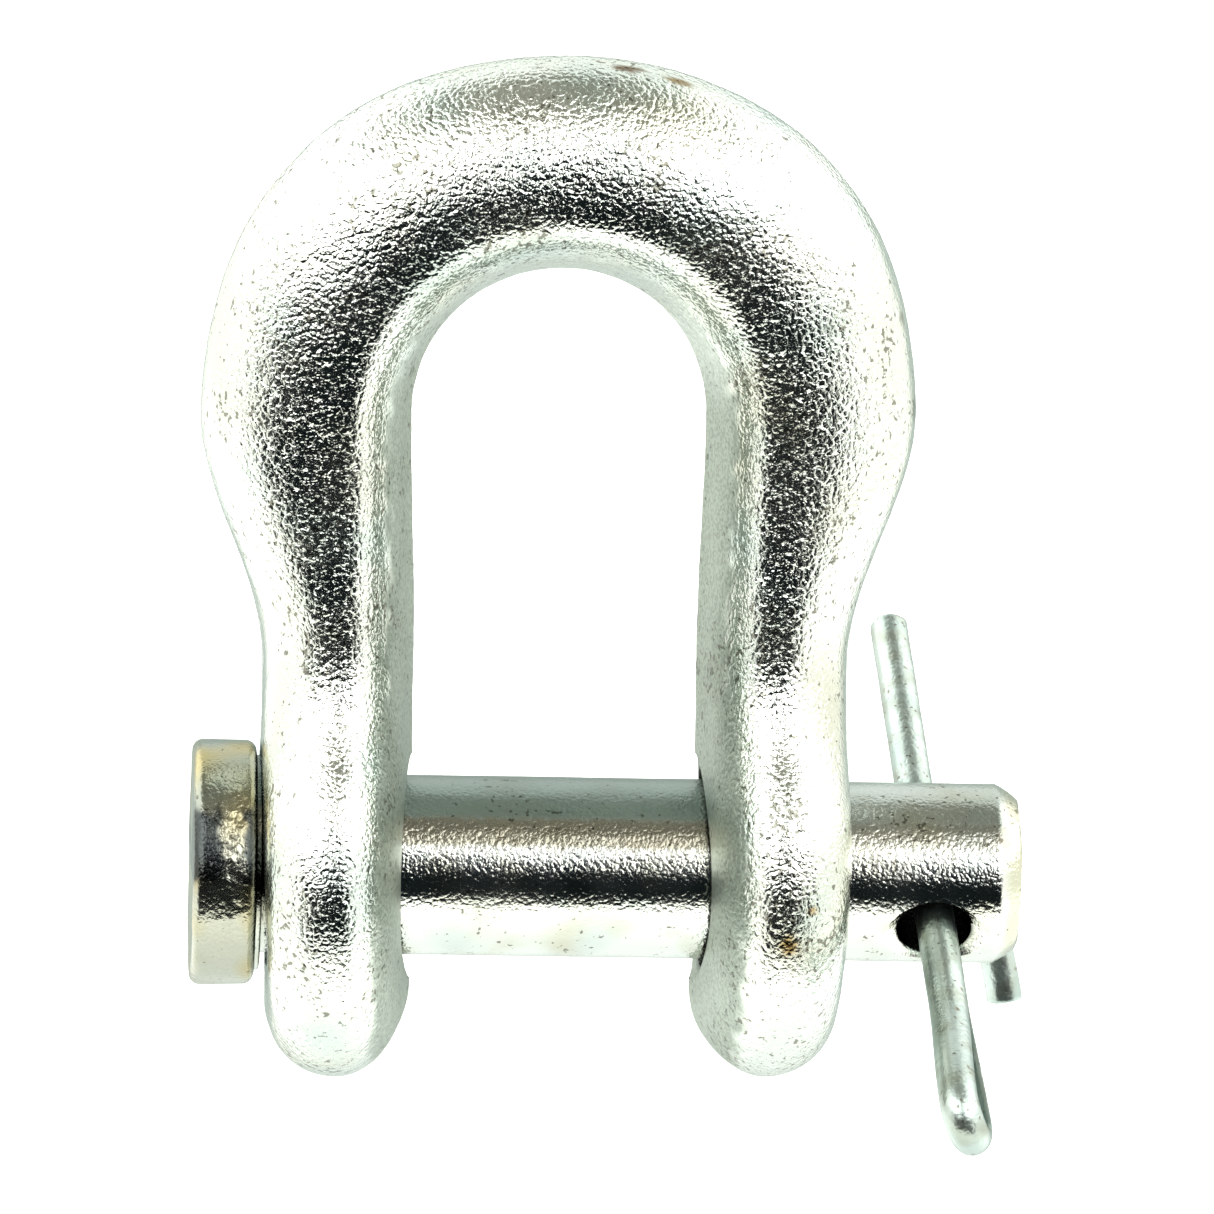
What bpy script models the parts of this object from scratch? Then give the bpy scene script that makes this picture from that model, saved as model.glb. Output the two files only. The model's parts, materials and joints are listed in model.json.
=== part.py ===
"""Round pin bow shackle: a forged bow, a loose round pin with a flat head, and a split pin.

Frame: X runs along the pin towards its split pin, Z up towards the crown of the bow, and -Y is the
front. The shackle stands on the rims of its two ears. The origin is the middle of the base of the
whole part's box. Lengths are in metres.
"""

import math

import bmesh
import bpy
from mathutils import Matrix, Vector
from mathutils.geometry import interpolate_bezier

MM = 0.001

# Where the pin's axis crosses the middle of the jaw, from the origin.
JAW_CENTRE = Vector((-4.5, 0.77, 14.9)) * MM

# Forged bow. Heights are above the pin's axis.
EAR_RADIUS = 14.9 * MM
BORE_RADIUS = 7.15 * MM
JAW_HALF_WIDTH = 10.02 * MM  # at the parting line, where the two ears come closest
BOW_HALF_WIDTH = 10.4 * MM
EAR_OUTER_X = 20.05 * MM
LEG_OUTER_X = 20.5 * MM
EAR_OUTER_ROUND = 4.8 * MM  # how far in from the rim the outer face starts to round off
INNER_ROUND = 6.4 * MM  # the same for the inner faces
EAR_SQUARENESS = 2.0  # 2 rounds an edge off like an ellipse; more leaves a flatter face
LEG_SQUARENESS = 2.9
EAR_DRAFT = math.tan(math.radians(7.0))  # the die's draft on the inner faces
LEG_DRAFT = math.tan(math.radians(15.0))
NECK_RADIUS = 13.0 * MM  # the hollow between an ear's rim and its leg, seen from the side
LEG_START_Z = -9.0 * MM  # between these heights an ear thickens into its leg
LEG_END_Z = 3.0 * MM
LEG_HALF_DEPTH = 7.8 * MM
CROWN_HALF_DEPTH = 7.4 * MM
SWELL_START_Z = 15.2 * MM  # from this height up to the crown's centre a leg widens into the bow
ARCH_CENTRE_Z = 32.9 * MM  # centre of the round crown
BOW_OUTER_X = 24.95 * MM
CROWN_OUTER_RADIUS = 25.2 * MM
SHOULDER_SWELL = 0.72 * MM  # how much fuller than round the bow is at its two shoulders
EAR_CREST = 0.52  # where the deepest line runs, from 0 inside to 1 outside
CROWN_CREST = 0.36

# Round pin. Its profile runs along X from the middle of the jaw.
PIN_RADIUS = 6.35 * MM
PIN_TILT = math.radians(0.75)  # the loose pin lies a little out of level in its bores
PIN_DROP = 0.08 * MM
HEAD_RADIUS = 8.63 * MM
HEAD_OUTER_X = -25.45 * MM
HEAD_INNER_X = -20.95 * MM
HEAD_EDGE = 0.75 * MM
COLLAR_RADIUS = 7.6 * MM
COLLAR_X = -20.6 * MM
PIN_END_X = 32.9 * MM
PIN_CHAMFER_LENGTH = 1.55 * MM
PIN_CHAMFER_DEPTH = 1.1 * MM
HOLE_X = 26.9 * MM
HOLE_RADIUS = 2.6 * MM
HOLE_SINK = 0.85 * MM  # how deep the countersink runs in at both mouths
HOLE_FLARE = 1.2  # how fast it widens, as a share of its depth
HOLE_PITCH = math.radians(30.5)  # the hole's front mouth points down by this much

# Split pin. Distances along its shank start at the pin's axis.
SHANK_X = 26.73 * MM
WIRE_RADIUS = 1.43 * MM
SHANK_PITCH = math.radians(28.8)  # its eye hangs down in front by this much
SHANK_LEAN = math.radians(3.5)  # its tips lean back towards the bow
SHANK_ROLL = math.radians(22.0)  # the eye's plane turned about the shank
SLIT_HALF_WIDTH = 0.06 * MM
EYE_START = 13.2 * MM
EYE_END = 26.9 * MM
EYE_HALF_WIDTH = 2.95 * MM
LONG_LEG_END = 25.3 * MM
BEND_START = 6.3 * MM
BEND_RADIUS = 2.4 * MM
BEND_ANGLE = math.radians(120.0)
BEND_ROLL = math.radians(38.0)  # the short leg is bent down and away from the bow
SHORT_LEG_END = Vector((6.8, 8.3, -11.5)) * MM  # from the pin's axis at the hole
SHORT_LEG_END_WAY = Vector((0.17, -0.06, -0.98))

# Facets.
SECTION_STEPS = 14
PIN_STEPS = 56
HOLE_STEPS = 28
WIRE_STEPS = 8


def smooth_step(low, high, value):
    """0 below low, 1 above high, and an even S between them."""
    t = min(max((value - low) / (high - low), 0.0), 1.0)
    return t * t * (3.0 - 2.0 * t)


def mix(a, b, t):
    return a + (b - a) * t


def new_object(name, bm, parent=None, location=(0.0, 0.0, 0.0)):
    """An object from a bmesh, with its faces pointing out."""
    bmesh.ops.recalc_face_normals(bm, faces=bm.faces)
    mesh = bpy.data.meshes.new(name)
    bm.to_mesh(mesh)
    bm.free()
    thing = bpy.data.objects.new(name, mesh)
    bpy.context.scene.collection.objects.link(thing)
    thing.parent = parent
    thing.location = location
    return thing


def finish_surface(thing, material):
    """Give a piece its material and smooth shading with sharp edges kept."""
    thing.data.materials.append(material)
    thing.data.shade_smooth()
    thing.data.set_sharp_from_angle(angle=math.radians(35.0))


def new_material(name, colour, roughness):
    """Bright zinc plate: metallic, with a given tint and roughness."""
    material = bpy.data.materials.new(name)
    material.use_nodes = True
    shader = material.node_tree.nodes["Principled BSDF"]
    shader.inputs["Base Color"].default_value = (*colour, 1.0)
    shader.inputs["Metallic"].default_value = 1.0
    shader.inputs["Roughness"].default_value = roughness
    return material


def bridge(bm, ring_a, ring_b):
    """Faces between two closed rings of vertices, either of which may be a single point."""
    count = max(len(ring_a), len(ring_b))
    for i in range(count):
        j = (i + 1) % count
        corners = [ring_a[i % len(ring_a)], ring_a[j % len(ring_a)]]
        corners += [ring_b[j % len(ring_b)], ring_b[i % len(ring_b)]]
        bm.faces.new(list(dict.fromkeys(corners)))


def skin(rings):
    """A closed body through a row of rings, each a list of points, capped where an end is not a point."""
    bm = bmesh.new()
    rows = [[bm.verts.new(point) for point in ring] for ring in rings]
    for ring_a, ring_b in zip(rows, rows[1:]):
        bridge(bm, ring_a, ring_b)
    for end in (rows[0], rows[-1]):
        if len(end) > 1:
            bm.faces.new(end)
    return bm


def lathe(profile, steps):
    """A body turned about the X axis from (x, radius) pairs."""
    rings = []
    for x, radius in profile:
        angles = [2.0 * math.pi * k / steps for k in range(steps)]
        rings.append([Vector((x, radius * math.cos(a), radius * math.sin(a))) for a in angles])
    return skin(rings)


def subtract(thing, cutter):
    """Cut a hidden cutter out of a piece."""
    cutter.display_type = "WIRE"
    cutter.hide_render = True
    modifier = thing.modifiers.new("cut_" + cutter.name, "BOOLEAN")
    modifier.operation = "DIFFERENCE"
    modifier.solver = "EXACT"
    modifier.object = cutter


# --- forged bow ---


def neck_centre():
    """Centre of the hollow that joins the ear's round rim to the leg's straight side."""
    y = LEG_HALF_DEPTH + NECK_RADIUS
    return y, math.sqrt((EAR_RADIUS + NECK_RADIUS) ** 2 - y * y)


def half_depth(z):
    """Half the forging's depth along Y at a height: the ear's rim, the neck, then the leg."""
    neck_y, neck_z = neck_centre()
    rim_top = EAR_RADIUS * neck_z / (EAR_RADIUS + NECK_RADIUS)
    if z <= rim_top:
        return math.sqrt(max(EAR_RADIUS**2 - z * z, 0.0))
    if z < neck_z:
        return neck_y - math.sqrt(NECK_RADIUS**2 - (neck_z - z) ** 2)
    return mix(LEG_HALF_DEPTH, CROWN_HALF_DEPTH, smooth_step(neck_z, ARCH_CENTRE_Z, z))


def depth_from_rim(y, z):
    """How far a point inside the side view lies from its outline."""
    y = abs(y)
    neck_y, neck_z = neck_centre()
    if z >= neck_z:
        return half_depth(z) - y
    if z * neck_y <= y * neck_z:
        return EAR_RADIUS - math.hypot(y, z)
    return math.hypot(neck_y - y, neck_z - z) - NECK_RADIUS


def fullness(depth, round_depth, squareness=2.0):
    """Share of the full thickness at a distance in from the rim: a rounded edge, then flat."""
    short = 1.0 - min(max(depth / round_depth, 0.0), 1.0)
    return max(1.0 - short**squareness, 0.0) ** (1.0 / squareness)


def bow_section(z, outer, inner, crest, place):
    """One ring of the bow. place turns a distance outward and a depth into a point."""
    depth = half_depth(z)
    if depth < 1e-9:
        return [place(mix(inner, outer, crest), 0.0)]
    blend = smooth_step(4.0 * MM, 20.0 * MM, z)
    outer_round = mix(EAR_OUTER_ROUND, depth, blend)
    squareness = mix(EAR_SQUARENESS, LEG_SQUARENESS, blend)
    draft = mix(EAR_DRAFT, LEG_DRAFT, blend)
    middle = mix(inner, outer, crest)
    outside = []
    inside = []
    for k in range(SECTION_STEPS + 1):
        y = -depth * math.cos(math.pi * k / SECTION_STEPS)
        rim = 0.0 if k in (0, SECTION_STEPS) else depth_from_rim(y, z)
        drafted = inner + abs(y) * draft
        outside.append(place(mix(middle, outer, fullness(rim, outer_round)), y))
        inside.append(place(mix(middle, drafted, fullness(rim, INNER_ROUND, squareness)), y))
    return outside + inside[-2:0:-1]


def bow_half():
    """Rings of the right half, from the bottom of its ear to the top of the crown."""
    rings = []
    heights = [-EAR_RADIUS * math.cos(math.radians(a)) for a in range(0, 91, 10)]
    leg_steps = 19
    heights += [ARCH_CENTRE_Z * (k + 1) / leg_steps for k in range(leg_steps)]
    for z in heights:
        swell = smooth_step(SWELL_START_Z, ARCH_CENTRE_Z, z)
        outer = mix(EAR_OUTER_X, LEG_OUTER_X, smooth_step(LEG_START_Z, LEG_END_Z, z))
        outer += (BOW_OUTER_X - LEG_OUTER_X) * swell
        inner = mix(JAW_HALF_WIDTH, BOW_HALF_WIDTH, swell)
        crest = mix(EAR_CREST, CROWN_CREST, swell)
        rings.append(bow_section(z, outer, inner, crest, lambda n, y, z=z: Vector((n, y, z))))
    crown_steps = 9
    for k in range(1, crown_steps + 1):
        angle = 0.5 * math.pi * k / crown_steps
        outer = BOW_OUTER_X + (CROWN_OUTER_RADIUS - BOW_OUTER_X) * math.sin(angle) ** 2
        outer += SHOULDER_SWELL * math.sin(2.0 * angle) ** 2
        z = ARCH_CENTRE_Z * (1.0 + k)
        rings.append(
            bow_section(
                z,
                outer,
                BOW_HALF_WIDTH,
                CROWN_CREST,
                lambda n, y, a=angle: Vector((n * math.cos(a), y, ARCH_CENTRE_Z + n * math.sin(a))),
            )
        )
    return rings


def make_bow(material):
    """The forged bow with its two bored ears."""
    right = bow_half()
    left = [[Vector((-p.x, p.y, p.z)) for p in ring] for ring in right[-2::-1]]
    bow = new_object("shackle_bow", skin(right + left), location=JAW_CENTRE)
    bore_length = 60.0 * MM
    ends = [(-bore_length / 2, BORE_RADIUS), (bore_length / 2, BORE_RADIUS)]
    subtract(bow, new_object("bore_cutter", lathe(ends, PIN_STEPS), location=JAW_CENTRE))
    finish_surface(bow, material)
    return bow


# --- round pin ---


def rounded_corner(x, radius, size, steps, way):
    """Points of a quarter-round corner of a turned profile; way is 1 going out, -1 coming back."""
    points = []
    for k in range(steps + 1):
        angle = 0.5 * math.pi * (k if way > 0 else steps - k) / steps
        points.append((x - way * size * math.cos(angle), radius - size + size * math.sin(angle)))
    return points


def make_pin(axis, material):
    """The round pin: flat head, under-head collar, plain shank, chamfered end and a cross hole."""
    profile = rounded_corner(HEAD_OUTER_X + HEAD_EDGE, HEAD_RADIUS, HEAD_EDGE, 3, 1)
    profile += rounded_corner(HEAD_INNER_X - HEAD_EDGE, HEAD_RADIUS, HEAD_EDGE, 3, -1)
    profile += [
        (HEAD_INNER_X, COLLAR_RADIUS),
        (COLLAR_X, COLLAR_RADIUS),
        (COLLAR_X, PIN_RADIUS),
        (PIN_END_X - PIN_CHAMFER_LENGTH, PIN_RADIUS),
        (PIN_END_X, PIN_RADIUS - PIN_CHAMFER_DEPTH),
    ]
    pin = new_object("round_pin", lathe(profile, PIN_STEPS), parent=axis)
    reach = PIN_RADIUS + 1.0 * MM
    waist = PIN_RADIUS - HOLE_SINK
    flare = HOLE_RADIUS + HOLE_FLARE * (reach - waist)
    hole = [(-reach, flare), (-waist, HOLE_RADIUS), (waist, HOLE_RADIUS), (reach, flare)]
    cutter = new_object("hole_cutter", lathe(hole, HOLE_STEPS), parent=axis, location=(HOLE_X, 0, 0))
    along_hole = Vector((0.0, math.cos(HOLE_PITCH), math.sin(HOLE_PITCH)))
    cutter.rotation_euler = along_hole.to_track_quat("X", "Z").to_euler()
    subtract(pin, cutter)
    finish_surface(pin, material)
    return pin


# --- split pin ---


def shank_axes():
    """The shank's way towards its tips, and the way from its long half to its short half."""
    along = Vector((0.0, math.cos(SHANK_PITCH), math.sin(SHANK_PITCH)))
    along = (Matrix.Rotation(SHANK_LEAN, 3, "Z") @ along).normalized()
    down = Vector((1.0, 0.0, 0.0)).cross(along).normalized() * -1.0
    across = Matrix.Rotation(-SHANK_ROLL, 3, along) @ down
    return along, across


def eye_points(along, across):
    """The inside of the eye, from the long half round its end to the short half."""
    inner = EYE_HALF_WIDTH - WIRE_RADIUS
    turn_centre = EYE_END - WIRE_RADIUS - inner
    steps = 10
    flank = []
    for k in range(steps):
        t = k / steps
        width = mix(SLIT_HALF_WIDTH, inner, smooth_step(0.0, 1.0, t))
        flank.append((mix(EYE_START, turn_centre, t), width))
    points = [along * -x - across * w for x, w in flank]
    for k in range(steps + 1):
        angle = math.pi * k / steps
        x = turn_centre + inner * math.sin(angle)
        points.append(along * -x - across * inner * math.cos(angle))
    points += [along * -x + across * w for x, w in reversed(flank)]
    return points


def short_leg_points(along, across):
    """The short leg outside the hole: a tight bend, then a tail behind the pin."""
    side = Matrix.Rotation(SHANK_ROLL - BEND_ROLL, 3, along) @ across
    start = along * BEND_START + across * SLIT_HALF_WIDTH
    steps = 7
    points = []
    for k in range(steps + 1):
        a = BEND_ANGLE * k / steps
        points.append(start + BEND_RADIUS * (along * math.sin(a) + side * (1.0 - math.cos(a))))
    way = along * math.cos(BEND_ANGLE) + side * math.sin(BEND_ANGLE)
    reach = (SHORT_LEG_END - points[-1]).length * 0.36
    handle_a = points[-1] + way * reach
    handle_b = SHORT_LEG_END - SHORT_LEG_END_WAY.normalized() * reach
    points += interpolate_bezier(points[-1], handle_a, handle_b, SHORT_LEG_END, 8)[1:]
    return points


def half_round_rings(points, inward):
    """Half-round wire swept along points. inward is the flat side's way at the first point."""
    rings = []
    ways = [(b - a).normalized() for a, b in zip(points, points[1:])]
    tangents = [ways[0]] + [(a + b).normalized() for a, b in zip(ways, ways[1:])] + [ways[-1]]
    flat = inward
    before = tangents[0]
    for point, tangent in zip(points, tangents):
        flat = before.rotation_difference(tangent) @ flat
        flat = (flat - tangent * flat.dot(tangent)).normalized()
        side = tangent.cross(flat)
        before = tangent
        ring = []
        for k in range(WIRE_STEPS + 1):
            angle = math.pi * (k / WIRE_STEPS - 0.5)
            out = math.cos(angle) * WIRE_RADIUS
            ring.append(point - flat * out + side * math.sin(angle) * WIRE_RADIUS)
        rings.append(ring)
    return rings


def make_split_pin(axis, material):
    """The split pin: one half-round wire folded at its eye, its short leg bent behind the pin."""
    along, across = shank_axes()
    points = [along * LONG_LEG_END - across * SLIT_HALF_WIDTH]
    points += eye_points(along, across)
    points += short_leg_points(along, across)
    bm = skin(half_round_rings(points, across))
    split_pin = new_object("split_pin", bm, parent=axis, location=(SHANK_X, 0.0, 0.0))
    finish_surface(split_pin, material)
    return split_pin


def main():
    for thing in list(bpy.data.objects):
        bpy.data.objects.remove(thing, do_unlink=True)
    make_bow(new_material("forged_zinc", (0.72, 0.74, 0.73), 0.32))
    pin_axis = bpy.data.objects.new("pin_axis", None)
    bpy.context.scene.collection.objects.link(pin_axis)
    pin_axis.location = JAW_CENTRE - Vector((0.0, 0.0, PIN_DROP))
    pin_axis.rotation_euler = (0.0, PIN_TILT, 0.0)
    make_pin(pin_axis, new_material("turned_zinc", (0.70, 0.71, 0.70), 0.24))
    make_split_pin(pin_axis, new_material("wire_zinc", (0.62, 0.67, 0.65), 0.30))
    bpy.context.view_layer.update()


main()
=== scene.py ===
"""Looks of a bright zinc plated round pin bow shackle: its three pieces, a pale light table and a
soft studio round it. Lengths are in metres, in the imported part's own frame."""

import json
import math

import bmesh
import bpy
import numpy as np
from mathutils import Matrix, Vector, noise
from mathutils.geometry import interpolate_bezier


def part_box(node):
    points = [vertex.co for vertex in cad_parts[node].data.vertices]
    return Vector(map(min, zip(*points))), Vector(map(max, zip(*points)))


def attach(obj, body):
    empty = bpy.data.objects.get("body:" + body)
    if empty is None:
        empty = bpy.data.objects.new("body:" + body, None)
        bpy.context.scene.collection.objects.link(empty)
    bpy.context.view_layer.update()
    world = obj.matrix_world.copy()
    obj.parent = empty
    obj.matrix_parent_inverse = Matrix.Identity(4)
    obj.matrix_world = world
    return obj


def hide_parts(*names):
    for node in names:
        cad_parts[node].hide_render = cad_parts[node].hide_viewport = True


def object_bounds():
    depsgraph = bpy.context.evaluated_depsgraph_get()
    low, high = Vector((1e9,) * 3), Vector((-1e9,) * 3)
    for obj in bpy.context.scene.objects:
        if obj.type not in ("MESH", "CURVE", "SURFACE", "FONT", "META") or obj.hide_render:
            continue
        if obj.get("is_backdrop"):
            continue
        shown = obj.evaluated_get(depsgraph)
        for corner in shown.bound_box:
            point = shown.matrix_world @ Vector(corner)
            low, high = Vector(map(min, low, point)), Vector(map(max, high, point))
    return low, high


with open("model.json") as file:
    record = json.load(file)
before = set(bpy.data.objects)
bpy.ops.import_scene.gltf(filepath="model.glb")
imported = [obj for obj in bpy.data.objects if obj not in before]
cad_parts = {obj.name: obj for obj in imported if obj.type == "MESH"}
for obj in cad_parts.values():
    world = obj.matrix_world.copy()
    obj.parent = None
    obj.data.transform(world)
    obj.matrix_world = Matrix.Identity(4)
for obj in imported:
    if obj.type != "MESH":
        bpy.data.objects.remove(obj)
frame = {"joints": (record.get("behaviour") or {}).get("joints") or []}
cad_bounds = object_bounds()

MM = 0.001

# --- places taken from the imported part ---
bow_low, bow_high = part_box("shackle_bow")
joints = {joint["name"]: joint for joint in frame["joints"]}
PIN_ORIGIN = Vector(joints["pin_spin"]["pos_m"])
PIN_AXIS = Vector(joints["pin_spin"]["axis"])
PIN_TILT = math.atan2(-PIN_AXIS.z, PIN_AXIS.x)
EAR_RADIUS = (bow_high.y - bow_low.y) / 2
JAW_CENTRE = Vector(((bow_low.x + bow_high.x) / 2, (bow_low.y + bow_high.y) / 2, bow_low.z + EAR_RADIUS))
PIN_FRAME = Matrix.Translation(PIN_ORIGIN) @ Matrix.Rotation(PIN_TILT, 4, "Y")

# --- forged bow; heights are above the pin's axis ---
BORE_RADIUS = 7.15 * MM
BORE_LIP = 1.1 * MM  # how far the worn rims open out inside the jaw, and how deep they run in
BORE_LIP_DEPTH = 0.6 * MM
JAW_HALF_WIDTH = 10.02 * MM
BOW_HALF_WIDTH = 10.4 * MM
EAR_OUTER_X = 20.05 * MM
LEG_OUTER_X = 20.5 * MM
EAR_OUTER_ROUND = 4.8 * MM
INNER_ROUND = 6.4 * MM
EAR_SQUARENESS = 2.0  # 2 is an elliptic edge; more is a flatter face and a tighter corner
LEG_SQUARENESS = 2.9
EAR_DRAFT = math.tan(math.radians(7.0))
LEG_DRAFT = math.tan(math.radians(15.0))
NECK_RADIUS = 13.0 * MM
LEG_START_Z = -9.0 * MM
LEG_END_Z = 3.0 * MM
LEG_HALF_DEPTH = 7.8 * MM
CROWN_HALF_DEPTH = 7.4 * MM
SWELL_START_Z = 15.2 * MM
ARCH_CENTRE_Z = 32.9 * MM
BOW_OUTER_X = 24.95 * MM
CROWN_OUTER_RADIUS = 25.2 * MM
SHOULDER_SWELL = 0.72 * MM
EAR_CREST = 0.52  # where across the bar its front and back crests lie, from inside to outside
CROWN_CREST = 0.36
FLASH_HEIGHT = 0.10 * MM  # faint trimmed line where the two dies met
FLASH_WIDTH = 0.8 * MM

# --- round pin; its profile runs along X from the middle of the jaw ---
PIN_RADIUS = 6.35 * MM
HEAD_RADIUS = 8.63 * MM
HEAD_OUTER_X = -25.45 * MM
HEAD_INNER_X = -20.95 * MM
HEAD_EDGE = 0.75 * MM
COLLAR_RADIUS = 7.6 * MM
COLLAR_EDGE = 0.15 * MM
COLLAR_X = -20.6 * MM
PIN_END_X = 32.9 * MM
PIN_CHAMFER_LENGTH = 1.55 * MM
PIN_CHAMFER_DEPTH = 1.1 * MM
HOLE_X = 26.9 * MM
HOLE_RADIUS = 2.6 * MM
HOLE_SINK = 0.85 * MM
HOLE_FLARE = 1.2
HOLE_PITCH = math.radians(30.5)

# --- split pin; distances along its shank start at the pin's axis ---
WIRE_RADIUS = 1.43 * MM
SHANK_X = 26.73 * MM
SHANK_PITCH = math.radians(28.8)
SHANK_LEAN = math.radians(3.5)
SHANK_ROLL = math.radians(22.0)
SLIT_HALF_WIDTH = 0.06 * MM
EYE_START = 13.2 * MM
EYE_END = 26.9 * MM
EYE_HALF_WIDTH = 2.95 * MM
LONG_LEG_END = 25.3 * MM
BEND_START = 6.3 * MM
BEND_RADIUS = 2.4 * MM
BEND_ANGLE = math.radians(120.0)
BEND_ROLL = math.radians(38.0)
SHORT_LEG_END = Vector((6.8, 8.3, -11.5)) * MM
SHORT_LEG_END_WAY = Vector((0.17, -0.06, -0.98))

# --- mesh fineness ---
SECTION_STEPS = 92
EAR_STEPS = 44
LEG_STEPS = 116
CROWN_STEPS = 78
BORE_STEPS = 168
PIN_STEPS = 216
HOLE_STEPS = 120
WIRE_STEPS = 44
FINE = 0.27 * MM  # furthest apart that points lie along a turned profile
WIRE_FINE = 0.20 * MM


def smooth_step(low, high, value):
    """0 below low, 1 above high, and an even S between them."""
    t = min(max((value - low) / (high - low), 0.0), 1.0)
    return t * t * (3.0 - 2.0 * t)


def mix(a, b, t):
    return a + (b - a) * t


def bridge(bm, ring_a, ring_b):
    """Faces between two closed rings of vertices, either of which may be a single point."""
    count = max(len(ring_a), len(ring_b))
    for i in range(count):
        j = (i + 1) % count
        corners = [ring_a[i % len(ring_a)], ring_a[j % len(ring_a)]]
        corners += [ring_b[j % len(ring_b)], ring_b[i % len(ring_b)]]
        bm.faces.new(list(dict.fromkeys(corners)))


def skin(rings):
    """A closed body through a row of rings, capped where an end is not a point."""
    bm = bmesh.new()
    rows = [[bm.verts.new(point) for point in ring] for ring in rings]
    for ring_a, ring_b in zip(rows, rows[1:]):
        bridge(bm, ring_a, ring_b)
    for end in (rows[0], rows[-1]):
        if len(end) > 1:
            bm.faces.new(end)
    bmesh.ops.recalc_face_normals(bm, faces=bm.faces)
    return bm


def lathe(profile, steps):
    """A body turned about the X axis from (x, radius) pairs."""
    rings = []
    for x, radius in profile:
        if radius < 1e-9:
            rings.append([Vector((x, 0.0, 0.0))])
            continue
        angles = [2.0 * math.pi * k / steps for k in range(steps)]
        rings.append([Vector((x, radius * math.cos(a), radius * math.sin(a))) for a in angles])
    return skin(rings)


def fine_profile(profile, step):
    """The same profile with points no further apart than step."""
    points = [profile[0]]
    for (xa, ra), (xb, rb) in zip(profile, profile[1:]):
        count = max(1, math.ceil(math.hypot(xb - xa, rb - ra) / step))
        points += [(mix(xa, xb, k / count), mix(ra, rb, k / count)) for k in range(1, count + 1)]
    return points


def new_object(name, bm, place):
    """A mesh object whose vertices are already in the part's frame."""
    bm.transform(place)
    mesh = bpy.data.meshes.new(name)
    bm.to_mesh(mesh)
    bm.free()
    thing = bpy.data.objects.new(name, mesh)
    bpy.context.scene.collection.objects.link(thing)
    return thing


def apply_modifiers(thing):
    """Bake a piece's modifiers into its mesh."""
    evaluated = thing.evaluated_get(bpy.context.evaluated_depsgraph_get())
    mesh = bpy.data.meshes.new_from_object(evaluated)
    thing.modifiers.clear()
    thing.data = mesh


def cut(thing, cutter):
    """Take a cutter's shape out of a piece, and drop the cutter."""
    modifier = thing.modifiers.new("cut", "BOOLEAN")
    modifier.operation = "DIFFERENCE"
    modifier.solver = "EXACT"
    modifier.object = cutter
    apply_modifiers(thing)
    bpy.data.objects.remove(cutter)


def relief(thing, height, patina_and_shade):
    """Move every vertex out along its normal by height(point). The third argument gives, for a point, the
    tint kept with the vertex, real stains and painted shade together, and as its fourth value how dull the
    skin is there."""
    mesh = thing.data
    count = len(mesh.vertices)
    co = np.empty(count * 3)
    mesh.vertices.foreach_get("co", co)
    normals = np.empty(count * 3)
    mesh.vertex_normals.foreach_get("vector", normals)
    points = co.reshape(-1, 3)
    normals = normals.reshape(-1, 3)
    lifts = np.array([height(Vector(point)) for point in points])
    moved = points + normals * lifts[:, None]
    mesh.vertices.foreach_set("co", moved.ravel())
    tints = mesh.attributes.new("patina_and_shade", "FLOAT_COLOR", "POINT")
    tints.data.foreach_set("color", np.array([patina_and_shade(Vector(point)) for point in points]).ravel())
    mesh.update()
    mesh.shade_smooth()


def lumps(point, size, seed=0.0):
    """Even rounded noise between about -1 and 1, with features of a given size."""
    return noise.noise(point / size + Vector((seed, 2.0 * seed, -seed)))


def pebbles(point, size, seed=0.0):
    """Domes with creases between them, 0 at the creases and up to about 1."""
    near = noise.voronoi(point / size + Vector((seed, seed, 3.0 * seed)))[0]
    return min((near[1] - near[0]) * 1.6, 1.0)


CLEAN = (1.0, 1.0, 1.0)  # patina that leaves the metal's own colour as it is


def blotch(colour, stain, share):
    """A colour taken part of the way towards a stain."""
    return tuple(mix(a, b, min(max(share, 0.0), 1.0)) for a, b in zip(colour, stain))


def spotted(colour, point, spots):
    """A colour with small soft-edged spots, each (place, reach along each axis, colour)."""
    for place, reach, stain in spots:
        off = point - place
        away = math.hypot(off.x / reach.x, off.y / reach.y, off.z / reach.z)
        ragged = 0.35 * lumps(point, 0.35 * MM, 3.7)
        colour = blotch(colour, stain, smooth_step(1.2, 0.6, away + ragged))
    return colour


# --- forged bow ---


WARM_CLOUD = (0.80, 0.76, 0.66)
COOL_CLOUD = (0.72, 0.82, 0.84)
# painted shade: the grey that the jaw's inner faces are taken towards, standing in for the shaded inside of
# the bow that they reflect
JAW_SHADE_GREY = (0.52, 0.57, 0.53)
# painted shade: near black, in the bores and on the ear under the pin's head
BORE_PAINTED_SHADE = (0.10, 0.11, 0.10)
RUST = (0.17, 0.10, 0.04)
RUST_SPOTS = [  # place from the jaw's centre, reach along each axis, colour
    (Vector((4.3, -1.6, 57.7)) * MM, Vector((1.3, 0.5, 0.5)) * MM, RUST),
    (Vector((8.0, -1.8, 57.0)) * MM, Vector((1.4, 0.45, 0.6)) * MM, (0.34, 0.24, 0.12)),
    (Vector((24.3, -2.2, 40.2)) * MM, Vector((0.8, 0.8, 0.9)) * MM, (0.32, 0.30, 0.24)),
    (Vector((24.9, -1.2, 33.5)) * MM, Vector((0.7, 0.7, 1.1)) * MM, (0.36, 0.34, 0.28)),
    (Vector((15.8, -14.5, -1.6)) * MM, Vector((0.8, 1.0, 0.9)) * MM, (0.52, 0.36, 0.16)),
    (Vector((17.4, -13.9, 0.8)) * MM, Vector((0.4, 1.0, 0.5)) * MM, (0.55, 0.38, 0.18)),
]


def neck_centre():
    """Centre of the hollow that joins the ear's round rim to the leg's straight side."""
    y = LEG_HALF_DEPTH + NECK_RADIUS
    return y, math.sqrt((EAR_RADIUS + NECK_RADIUS) ** 2 - y * y)


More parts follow.
